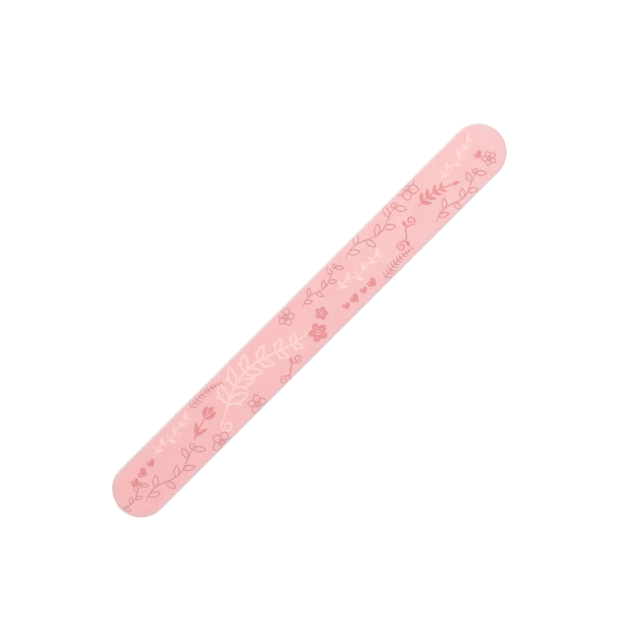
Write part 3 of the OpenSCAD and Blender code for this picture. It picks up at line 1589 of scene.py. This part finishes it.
@dataclass(frozen=True)
class PrintedCoatFinish(Finish):
    """Matt pink coat over grit, with three inks that the tips of the grains break up."""

    grain: float
    depth: float
    # painted light: the colour that the coat turns to at its +X end, where more light falls
    painted_light_end: Colour = (0.90, 0.63, 0.625, 1)
    deep: Colour = (0.90, 0.43, 0.43, 1)
    glint: Colour = (0.985, 0.66, 0.65, 1)
    # painted shade: the darker colour that the pressed rim turns to towards the cut edge
    rim_shade: Colour = (0.75, 0.585, 0.63, 1)
    cut_paper: Colour = (0.93, 0.80, 0.77, 1)
    rose: Colour = (0.65, 0.225, 0.235, 1)
    coral: Colour = (0.76, 0.205, 0.22, 1)
    pale: Colour = (0.985, 0.70, 0.675, 1)
    blotch_size: float = 6 * MM
    blotches: float = 0.42
    fleck_size: float = 0.7 * MM
    flecks: float = 0.34
    dark_grains: Span = (0.5, 0.0)
    bright_grains: Span = (0.6, 1.0)
    glossy_grains: Span = (0.75, 1.0)
    missed_grains: Span = (0.16, 0.1)
    missed_share: Span = (0.12, 0.75)
    grain_contrast: float = 0.35
    pit_shade: float = 0.6
    rim_band: float = 2.0 * MM
    rim_falloff: float = 2.2
    rim_shade_share: float = 0.75
    scuff_band: float = 0.22 * MM
    chip_size: float = 0.35 * MM
    chip_edges: Span = (0.5, 0.62)
    gloss: float = 0.2
    strength: float = 1.0

    def paint(self, coating: Coating) -> None:
        """Lays the ground over the grit, lighter towards the +X end as painted light, and then the inks, the
        painted shade along the pressed rim and the scuffed cut edge.

        Args:
            coating: The material to give them to.
        """
        height, tone, tips, pits = coating.effect(coating.effects.grit, self.grain)
        blotches, flecks = coating.mottle(self.blotch_size), coating.mottle(self.fleck_size)
        reach = coating.effects.outline.half_length
        along = coating.add("SeparateXYZ", {0: coating.place}).outputs[0]
        # painted light: the ground lightens along X towards the +X end
        ground = coating.mix(coating.spread(along, -reach, reach), self.colour, self.painted_light_end)
        # painted shade along the pressed rim, strongest at the cut edge
        rim = coating.math("POWER", coating.edge(self.rim_band), self.rim_falloff)
        rim_shading = coating.math("MULTIPLY", rim, self.rim_shade_share)
        ground = coating.stain(ground, blotches, self.blotches, self.deep)
        ground = coating.stain(ground, flecks, self.flecks, self.deep)
        for grains, colour in ((self.dark_grains, self.deep), (self.bright_grains, self.glint)):
            ground = coating.mix(coating.spread(tone, *grains, 0.0, self.grain_contrast), ground, colour)
        ground = coating.stain(ground, tips, self.grain_contrast, self.glint)
        ground = coating.stain(ground, pits, self.pit_shade, self.deep)
        colour = self._printed(coating, ground, tone, pits)
        scuff = coating.edge(self.scuff_band)
        chips = coating.spread(coating.clouds(coating.place, 1 / self.chip_size), *self.chip_edges)
        chips = coating.math("MULTIPLY", scuff, chips)
        # lays the painted shade of the pressed rim
        colour = coating.mix(rim_shading, colour, self.rim_shade)
        colour = coating.mix(chips, colour, self.cut_paper)
        rough = coating.spread(tone, *self.glossy_grains, self.roughness, self.roughness - self.gloss)
        coating.finish(colour, rough, height, self.depth, self.strength)

    def _printed(self, coating: Coating, ground: Socket, tone: Socket, pits: Socket) -> Socket:
        """Lays the three inks over the ground, apart from the pits and the grains that they miss.

        Args:
            coating: The material.
            ground: The colour under the inks.
            tone: Each grain's own tone.
            pits: Where the pits between the grains are.

        Returns:
            The printed colour.
        """
        stored = coating.add("Attribute", attribute_name=INK_MASKS).outputs["Vector"]
        masks = coating.add("SeparateXYZ", {0: stored}).outputs
        in_pits = coating.math("MULTIPLY", pits, self.pit_shade)
        on_grains = coating.spread(tone, *self.missed_grains, *self.missed_share)
        missed = coating.math("MAXIMUM", in_pits, on_grains)
        laid = coating.math("SUBTRACT", 1.0, missed)
        for mask, ink in zip(masks, (self.rose, self.coral, self.pale)):
            ground = coating.mix(coating.math("MULTIPLY", mask, laid), ground, ink)
        return ground


@dataclass(frozen=True)
class FoamFinish(Finish):
    """White closed-cell foam, cut through its cells: bright thin walls round hollows darkened as painted
    shade.
    """

    # painted shade of the cells' hollows, and the darker tone of the blotches and die lines
    hollow_shade_and_dark_tone: Colour = (0.70, 0.64, 0.57, 1)
    cell: float = 0.17 * MM
    small_cells: float = 2.2
    large_share: float = 0.7
    large_walls: Span = (0.1, 0.62)
    small_share: float = 0.3
    small_walls: Span = (0.1, 0.6)
    bright_walls: Span = (0.1, 0.8)
    blotch_size: float = 3 * MM
    spacing: float = 0.5 * MM
    shade: float = 0.15
    gloss: float = 0.12
    depth: float = 0.06 * MM
    strength: float = 0.8

    def paint(self, coating: Coating) -> None:
        """Lays large and small cells with painted shade in their hollows, a broad tone and the lines of the
        die.

        Args:
            coating: The material to give them to.
        """
        large, small = (
            coating.add("TexVoronoi", {"Vector": coating.place, "Scale": scale}).outputs["Distance"]
            for scale in (1 / self.cell, self.small_cells / self.cell)
        )
        large = coating.math("MULTIPLY", coating.spread(large, *self.large_walls), self.large_share)
        small = coating.math("MULTIPLY", coating.spread(small, *self.small_walls), self.small_share)
        wall = coating.math("ADD", large, small)
        blotches = coating.mottle(self.blotch_size)
        _, lines = coating.effect(coating.effects.cut_lines, self.spacing)
        # painted shade: the cells' hollows are darker than their walls
        colour = coating.mix(coating.spread(wall, *self.bright_walls), self.hollow_shade_and_dark_tone, self.colour)
        colour = coating.stain(colour, blotches, self.shade, self.hollow_shade_and_dark_tone)
        colour = coating.stain(colour, lines, self.shade, self.hollow_shade_and_dark_tone)
        rough = coating.spread(wall, 0.0, 1.0, self.roughness, self.roughness - self.gloss)
        coating.finish(colour, rough, wall, self.depth, self.strength)


@dataclass(frozen=True)
class CutLayerFinish(Finish):
    """A solid layer that shows at the cut side, with the lines of the cutting die."""

    dark: Colour = (0.6, 0.55, 0.48, 1)
    spacing: float = 0.2 * MM
    depth: float = 0.02 * MM
    blotch_size: float = 2.5 * MM
    blotches: float = 0.12
    line_shade: float = 0.3
    line_heights: Span = (0.3, 0.7)
    line_gloss: float = 0.08
    line_dull: float = 0.12
    strength: float = 0.5

    def paint(self, coating: Coating) -> None:
        """Lays die lines over a soft mottle.

        Args:
            coating: The material to give them to.
        """
        height, lines = coating.effect(coating.effects.cut_lines, self.spacing)
        colour = coating.stain(self.colour, coating.mottle(self.blotch_size), self.blotches, self.dark)
        colour = coating.stain(colour, lines, self.line_shade, self.dark)
        smooth, dull = self.roughness - self.line_gloss, self.roughness + self.line_dull
        rough = coating.spread(height, *self.line_heights, smooth, dull)
        coating.finish(colour, rough, height, self.depth, self.strength)


@dataclass(frozen=True)
class GrainFinish(Finish):
    """Mineral grains in resin, as the edge of the grain layer shows them."""

    resin: Colour = (0.80, 0.43, 0.42, 1)
    resin_dull: float = 0.2
    grain: float = 0.1 * MM
    depth: float = 0.02 * MM
    strength: float = 0.6

    def paint(self, coating: Coating) -> None:
        """Lays pale grains with resin between them.

        Args:
            coating: The material to give them to.
        """
        height, _, tips, _ = coating.effect(coating.effects.grit, self.grain)
        colour = coating.mix(tips, self.resin, self.colour)
        rough = coating.spread(tips, 0.0, 1.0, self.roughness + self.resin_dull, self.roughness)
        coating.finish(colour, rough, height, self.depth, self.strength)


PINK: Colour = (0.99, 0.535, 0.535, 1)
COATS: dict[Side, PrintedCoatFinish] = {
    Side.FRONT: PrintedCoatFinish("printed_coat_on_fine_grain", PINK, 0.62, 0.13 * MM, 0.045 * MM),
    Side.REAR: PrintedCoatFinish("printed_coat_on_coarse_grain", PINK, 0.64, 0.21 * MM, 0.08 * MM),
}
FOAM = FoamFinish("cushion_foam", (0.91, 0.88, 0.83, 1), 0.92)
CORE = CutLayerFinish("core_plastic", (0.91, 0.90, 0.86, 1), 0.42, (0.70, 0.67, 0.60, 1))
FRAME_LAYERS: tuple[Finish, ...] = (
    CutLayerFinish("laminating_adhesive", (0.80, 0.75, 0.65, 1), 0.3, (0.64, 0.57, 0.46, 1)),
    CutLayerFinish("backing_paper", (0.90, 0.86, 0.80, 1), 0.85, (0.72, 0.65, 0.58, 1), 0.1 * MM, 0.03 * MM),
    CutLayerFinish("bond_resin", (0.88, 0.53, 0.51, 1), 0.4, (0.70, 0.36, 0.35, 1)),
    GrainFinish("abrasive_mineral", (0.93, 0.80, 0.77, 1), 0.45),
)


@dataclass(frozen=True)
class Lamp:
    """A square area lamp, by the share of full brightness that it gives a white face lying flat."""

    name: str
    place: tuple[float, float, float]
    size: float
    share: float

    def hang(self, aim: Vector) -> None:
        """Hangs the lamp and points it at the aim.

        Args:
            aim: The middle of what it lights.
        """
        reach = aim - Vector(self.place)
        bpy.ops.object.light_add(type="AREA", location=self.place)
        lamp = bpy.context.object
        lamp.name = self.name
        lamp.data.size = self.size
        lamp.data.energy = math.pi**2 * self.share * reach.length**3 / abs(reach.z)
        lamp.rotation_mode = "QUATERNION"
        lamp.rotation_quaternion = reach.to_track_quat("-Z", "Y")


@dataclass(frozen=True)
class Studio:
    """A plain white floor, soft light from the picture's top right, two fills and a white surround."""

    floor_size: float = 1.4
    floor_colour: Colour = (0.80, 0.80, 0.80, 1)
    floor_roughness: float = 0.9
    floor_glow: float = 0.5
    surround: float = 0.50
    lamps: tuple[Lamp, ...] = (
        Lamp("key", (0.28, 0.38, 0.57), 0.5, 0.49),
        Lamp("fill", (-0.5, -0.3, 0.7), 0.7, 0.05),
        Lamp("low_fill", (-0.1, -0.9, 0.2), 0.6, 0.045),
    )

    def build(self, aim: Vector) -> None:
        """Makes the floor, the lamps and the surround, and sets the plain view transform.

        Args:
            aim: The middle of the object.
        """
        bpy.ops.object.select_all(action="DESELECT")
        bpy.ops.mesh.primitive_plane_add(size=self.floor_size)
        floor = bpy.context.object
        floor.name = floor.data.name = "floor"
        dress(floor, self._floor_material())
        floor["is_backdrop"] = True
        for lamp in self.lamps:
            lamp.hang(aim)
        self._white_surround()
        bpy.context.scene.view_settings.view_transform = "Standard"

    def _seen_directly(self, graph: Graph) -> Socket:
        """Tells what is seen from what only sends light on.

        Args:
            graph: The tree that asks.

        Returns:
            1 for rays from the camera, and for those that gloss or glass sends on.
        """
        rays = graph.add("LightPath").outputs
        gloss = graph.math("MAXIMUM", rays["Is Glossy Ray"], rays["Is Transmission Ray"])
        return graph.math("MAXIMUM", rays["Is Camera Ray"], gloss)

    def _floor_material(self) -> bpy.types.Material:
        """White where light falls on it, with the file's shadow kept.

        Returns:
            The floor's material.
        """
        made = bpy.data.materials.new("floor")
        made.use_nodes = True
        graph = Graph(made.node_tree)
        shader = made.node_tree.nodes["Principled BSDF"].inputs
        shader["Base Color"].default_value = self.floor_colour
        shader["Roughness"].default_value = self.floor_roughness
        shader["Specular IOR Level"].default_value = 0.0
        shader["Emission Color"].default_value = WHITE
        glow = graph.math("MULTIPLY", self._seen_directly(graph), self.floor_glow)
        graph.feed(shader["Emission Strength"], glow)
        return made

    def _white_surround(self) -> None:
        """A world that lights the object evenly and looks white."""
        world = bpy.data.worlds.new("surround")
        bpy.context.scene.world = world
        world.use_nodes = True
        graph = Graph(world.node_tree)
        back = world.node_tree.nodes["Background"].inputs
        back["Color"].default_value = WHITE
        graph.feed(back["Strength"], graph.spread(self._seen_directly(graph), 0.0, 1.0, self.surround, 1.0))


@dataclass(frozen=True)
class PhotoCamera:
    """The photograph's viewpoint: far off, turned about the view, and a little to one side."""

    frame_pixels: float = 640.0
    middle_pixel: Span = (309.4, 320.0)
    length_pixels: float = 533.4
    axis_turn: float = math.radians(44.97)
    tilt: float = math.radians(9.5)
    distance: float = 1.5
    sight: float = 6.0
    sensor_mm: float = 36.0

    def place(self, low: Vector, high: Vector) -> None:
        """Sets up the camera.

        Args:
            low: The object's lowest corner.
            high: Its highest corner.
        """
        pixel = (high.x - low.x) / self.length_pixels
        along = Vector((1, 0, 0))
        sideways = Vector((0, math.cos(self.tilt), -math.sin(self.tilt)))
        right = math.cos(self.axis_turn) * along - math.sin(self.axis_turn) * sideways
        up = math.sin(self.axis_turn) * along + math.cos(self.axis_turn) * sideways
        back = right.cross(up)
        aside = (self.frame_pixels / 2 - self.middle_pixel[0]) * pixel
        below = (self.middle_pixel[1] - self.frame_pixels / 2) * pixel
        bpy.ops.object.camera_add()
        camera = bpy.context.object
        camera.name = "photo_camera"
        turn = Matrix((right, up, back)).transposed().to_4x4()
        aim = (low + high) / 2 + right * aside + up * below
        camera.matrix_world = Matrix.Translation(aim + back * self.distance) @ turn
        camera.data.sensor_width = self.sensor_mm
        camera.data.lens = self.sensor_mm * self.distance / (self.frame_pixels * pixel)
        camera.data.clip_end = self.sight
        bpy.context.scene.camera = camera


@dataclass
class NailFile:
    """The whole board: modelled cushions and coats, and the frame's other layers in new finishes."""

    frame: dict[str, Any]
    rim_width: float = 0.9 * MM

    def build(self) -> None:
        """Models and dresses every piece."""
        outline = Stadium.of_node("core_board")
        effects = Effects(outline)
        foam_material = FOAM.material(effects)
        shared = {"outline": outline, "rim_width": self.rim_width}
        for coat in (
            PrintedCoat(Side.FRONT, **shared, roll_shift=0.0, grit_size=0.17 * MM, relief=0.03 * MM),
            PrintedCoat(Side.REAR, **shared, roll_shift=0.62, grit_size=0.26 * MM, relief=0.038 * MM),
        ):
            self._report(coat.build(COATS[coat.side].material(effects)))
            cushion = FoamCushion(outline=outline, side=coat.side, rim=coat.rim)
            self._report(cushion.build(foam_material))
        self._report(CoreBoard(outline=outline).build(CORE.material(effects)))
        self._dress_layers(effects)

    def _dress_layers(self, effects: Effects) -> None:
        """Puts each slot's finish on the frame's nodes that still show.

        Args:
            effects: The shared node groups.
        """
        materials = {finish.name: finish.material(effects) for finish in FRAME_LAYERS}
        for row in self.frame["record"]["subparts"]:
            node = self.frame["nodes"][row["node"]]
            if row["material_slot"] in materials and not node.hide_render:
                dress(node, materials[row["material_slot"]])
                self._report(node)

    def _report(self, piece: bpy.types.Object) -> None:
        """Logs a finished piece and how many faces it has."""
        log.info("%s: %d faces", piece.name, len(piece.data.polygons))


def main() -> None:
    """Loads the frame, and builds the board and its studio."""
    logging.basicConfig(level=logging.INFO, format="%(name)s %(message)s")
    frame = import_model()
    cad_box = [list(corner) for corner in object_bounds()]
    low, high = (Vector(corner) for corner in cad_box)
    PhotoCamera().place(low, high)
    NailFile(frame).build()
    Studio().build((low + high) / 2)


if __name__ == "__main__":
    main()
